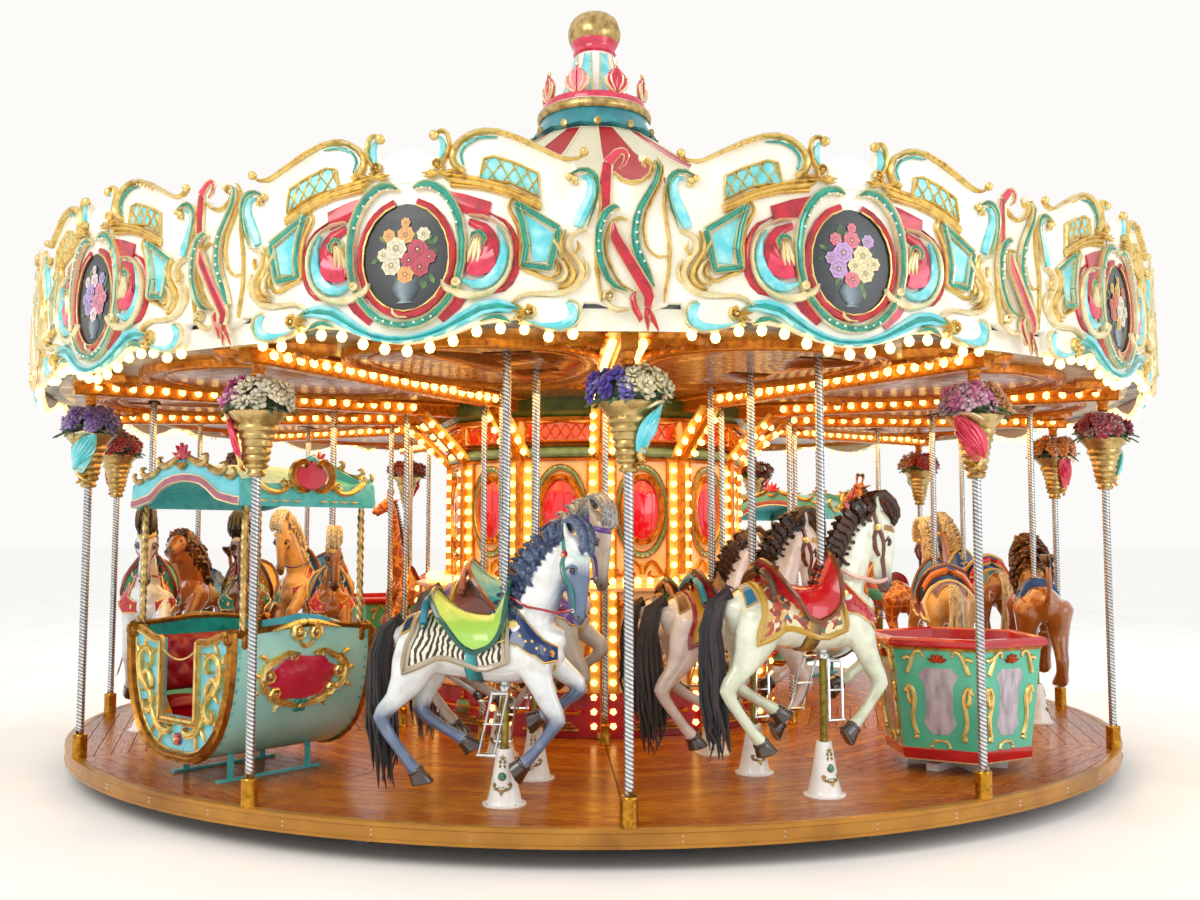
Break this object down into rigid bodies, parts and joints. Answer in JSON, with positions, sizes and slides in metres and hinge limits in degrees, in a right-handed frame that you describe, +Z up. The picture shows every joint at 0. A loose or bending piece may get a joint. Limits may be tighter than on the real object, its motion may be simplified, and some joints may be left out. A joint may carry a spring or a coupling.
{
  "type": "fairground carousel",
  "caption": "Turning fairground carousel with jumping animals on twisted poles, gondolas, spinning tubs, painted rounding boards and a striped roof.",
  "frame": {"origin": "on the ground under the turning axis", "axes": "+Z up along the turning axis, -Y towards the front rim post"},
  "size_m": [9.7, 9.7, 7.005],
  "materials": {
    "galvanised_steel": "satin",
    "varnished_planks": "gloss",
    "twisted_tube": "polished",
    "gold_lamp_batten": "satin gold paint",
    "bronze_panel": "gloss",
    "board_white": "gloss",
    "roof_canvas": "matt",
    "cupola_paint": "gloss",
    "housing_peach": "satin",
    "gondola_blue": "gloss",
    "tub_green": "gloss",
    "horse_paint": "gloss",
    "lion_paint": "gloss",
    "giraffe_paint": "gloss"
  },
  "bodies": {
    "base": {"base_frame": "galvanised_steel", "centre_mast": "galvanised_steel"},
    "platform": {"turntable_frame": "galvanised_steel", "deck": "varnished_planks", "housing": "housing_peach", "light_sweeps": "gold_lamp_batten", "ceiling": "bronze_panel", "sweep_frame": "galvanised_steel", "roof": "roof_canvas", "cupola": "cupola_paint", "gondola_a_hull": "gondola_blue", "gondola_b_hull": "gondola_blue", "gondola_a_canopy": "gondola_blue", "gondola_b_canopy": "gondola_blue", "rim_post_01": "twisted_tube", "rim_post_02": "twisted_tube", "rim_post_03": "twisted_tube", "rim_post_04": "twisted_tube", "rim_post_05": "twisted_tube", "rim_post_06": "twisted_tube", "rim_post_07": "twisted_tube", "rim_post_08": "twisted_tube", "rim_post_09": "twisted_tube", "rim_post_10": "twisted_tube", "rim_post_11": "twisted_tube", "rim_post_12": "twisted_tube", "rounding_board_01": "board_white", "rounding_board_02": "board_white", "rounding_board_03": "board_white", "rounding_board_04": "board_white", "rounding_board_05": "board_white", "rounding_board_06": "board_white", "rounding_board_07": "board_white", "rounding_board_08": "board_white", "rounding_board_09": "board_white", "rounding_board_10": "board_white", "rounding_board_11": "board_white", "rounding_board_12": "board_white"},
    "tub_a_body": {"tub_a": "tub_green"},
    "tub_b_body": {"tub_b": "tub_green"},
    "horse_01_body": {"horse_01": "horse_paint"},
    "horse_02_body": {"horse_02": "horse_paint"},
    "horse_03_body": {"horse_03": "horse_paint"},
    "horse_04_body": {"horse_04": "horse_paint"},
    "horse_05_body": {"horse_05": "horse_paint"},
    "horse_06_body": {"horse_06": "horse_paint"},
    "lion_01_body": {"lion_01": "lion_paint"},
    "horse_07_body": {"horse_07": "horse_paint"},
    "horse_08_body": {"horse_08": "horse_paint"},
    "giraffe_01_body": {"giraffe_01": "giraffe_paint"},
    "horse_09_body": {"horse_09": "horse_paint"},
    "lion_02_body": {"lion_02": "lion_paint"},
    "horse_10_body": {"horse_10": "horse_paint"},
    "horse_11_body": {"horse_11": "horse_paint"},
    "horse_12_body": {"horse_12": "horse_paint"},
    "giraffe_02_body": {"giraffe_02": "giraffe_paint"},
    "horse_13_body": {"horse_13": "horse_paint"},
    "horse_14_body": {"horse_14": "horse_paint"},
    "horse_15_body": {"horse_15": "horse_paint"},
    "horse_16_body": {"horse_16": "horse_paint"}
  },
  "joints": [
    {"name": "platform_turn", "type": "hinge", "parent": "base", "child": "platform", "pos_m": [0, 0, 0.24], "axis": [0, 0, 1], "continuous": true},
    {"name": "tub_a_spin", "type": "hinge", "parent": "platform", "child": "tub_a_body", "pos_m": [2.46762, -2.82371, 0.34], "axis": [0, 0, 1], "continuous": true},
    {"name": "tub_b_spin", "type": "hinge", "parent": "platform", "child": "tub_b_body", "pos_m": [-2.46762, 2.82371, 0.34], "axis": [0, 0, 1], "continuous": true},
    {"name": "horse_01_jump", "type": "slide", "parent": "platform", "child": "horse_01_body", "axis": [0, 0, 1], "range_m": [-0.064, 0.236]},
    {"name": "horse_02_jump", "type": "slide", "parent": "platform", "child": "horse_02_body", "axis": [0, 0, 1], "range_m": [-0.23, 0.07]},
    {"name": "horse_03_jump", "type": "slide", "parent": "platform", "child": "horse_03_body", "axis": [0, 0, 1], "range_m": [-0.07, 0.23]},
    {"name": "horse_04_jump", "type": "slide", "parent": "platform", "child": "horse_04_body", "axis": [0, 0, 1], "range_m": [-0.235, 0.065]},
    {"name": "horse_05_jump", "type": "slide", "parent": "platform", "child": "horse_05_body", "axis": [0, 0, 1], "range_m": [-0.15, 0.15]},
    {"name": "horse_06_jump", "type": "slide", "parent": "platform", "child": "horse_06_body", "axis": [0, 0, 1], "range_m": [-0.13, 0.17]},
    {"name": "lion_01_jump", "type": "slide", "parent": "platform", "child": "lion_01_body", "axis": [0, 0, 1], "range_m": [-0.17, 0.13]},
    {"name": "horse_07_jump", "type": "slide", "parent": "platform", "child": "horse_07_body", "axis": [0, 0, 1], "range_m": [-0.2, 0.1]},
    {"name": "horse_08_jump", "type": "slide", "parent": "platform", "child": "horse_08_body", "axis": [0, 0, 1], "range_m": [-0.13, 0.17]},
    {"name": "giraffe_01_jump", "type": "slide", "parent": "platform", "child": "giraffe_01_body", "axis": [0, 0, 1], "range_m": [-0.15, 0.15]},
    {"name": "horse_09_jump", "type": "slide", "parent": "platform", "child": "horse_09_body", "axis": [0, 0, 1], "range_m": [-0.19, 0.11]},
    {"name": "lion_02_jump", "type": "slide", "parent": "platform", "child": "lion_02_body", "axis": [0, 0, 1], "range_m": [-0.21, 0.09]},
    {"name": "horse_10_jump", "type": "slide", "parent": "platform", "child": "horse_10_body", "axis": [0, 0, 1], "range_m": [-0.17, 0.13]},
    {"name": "horse_11_jump", "type": "slide", "parent": "platform", "child": "horse_11_body", "axis": [0, 0, 1], "range_m": [-0.21, 0.09]},
    {"name": "horse_12_jump", "type": "slide", "parent": "platform", "child": "horse_12_body", "axis": [0, 0, 1], "range_m": [-0.15, 0.15]},
    {"name": "giraffe_02_jump", "type": "slide", "parent": "platform", "child": "giraffe_02_body", "axis": [0, 0, 1], "range_m": [-0.15, 0.15]},
    {"name": "horse_13_jump", "type": "slide", "parent": "platform", "child": "horse_13_body", "axis": [0, 0, 1], "range_m": [-0.09, 0.21]},
    {"name": "horse_14_jump", "type": "slide", "parent": "platform", "child": "horse_14_body", "axis": [0, 0, 1], "range_m": [-0.23, 0.07]},
    {"name": "horse_15_jump", "type": "slide", "parent": "platform", "child": "horse_15_body", "axis": [0, 0, 1], "range_m": [-0.23, 0.07]},
    {"name": "horse_16_jump", "type": "slide", "parent": "platform", "child": "horse_16_body", "axis": [0, 0, 1], "range_m": [-0.09, 0.21]}
  ]
}
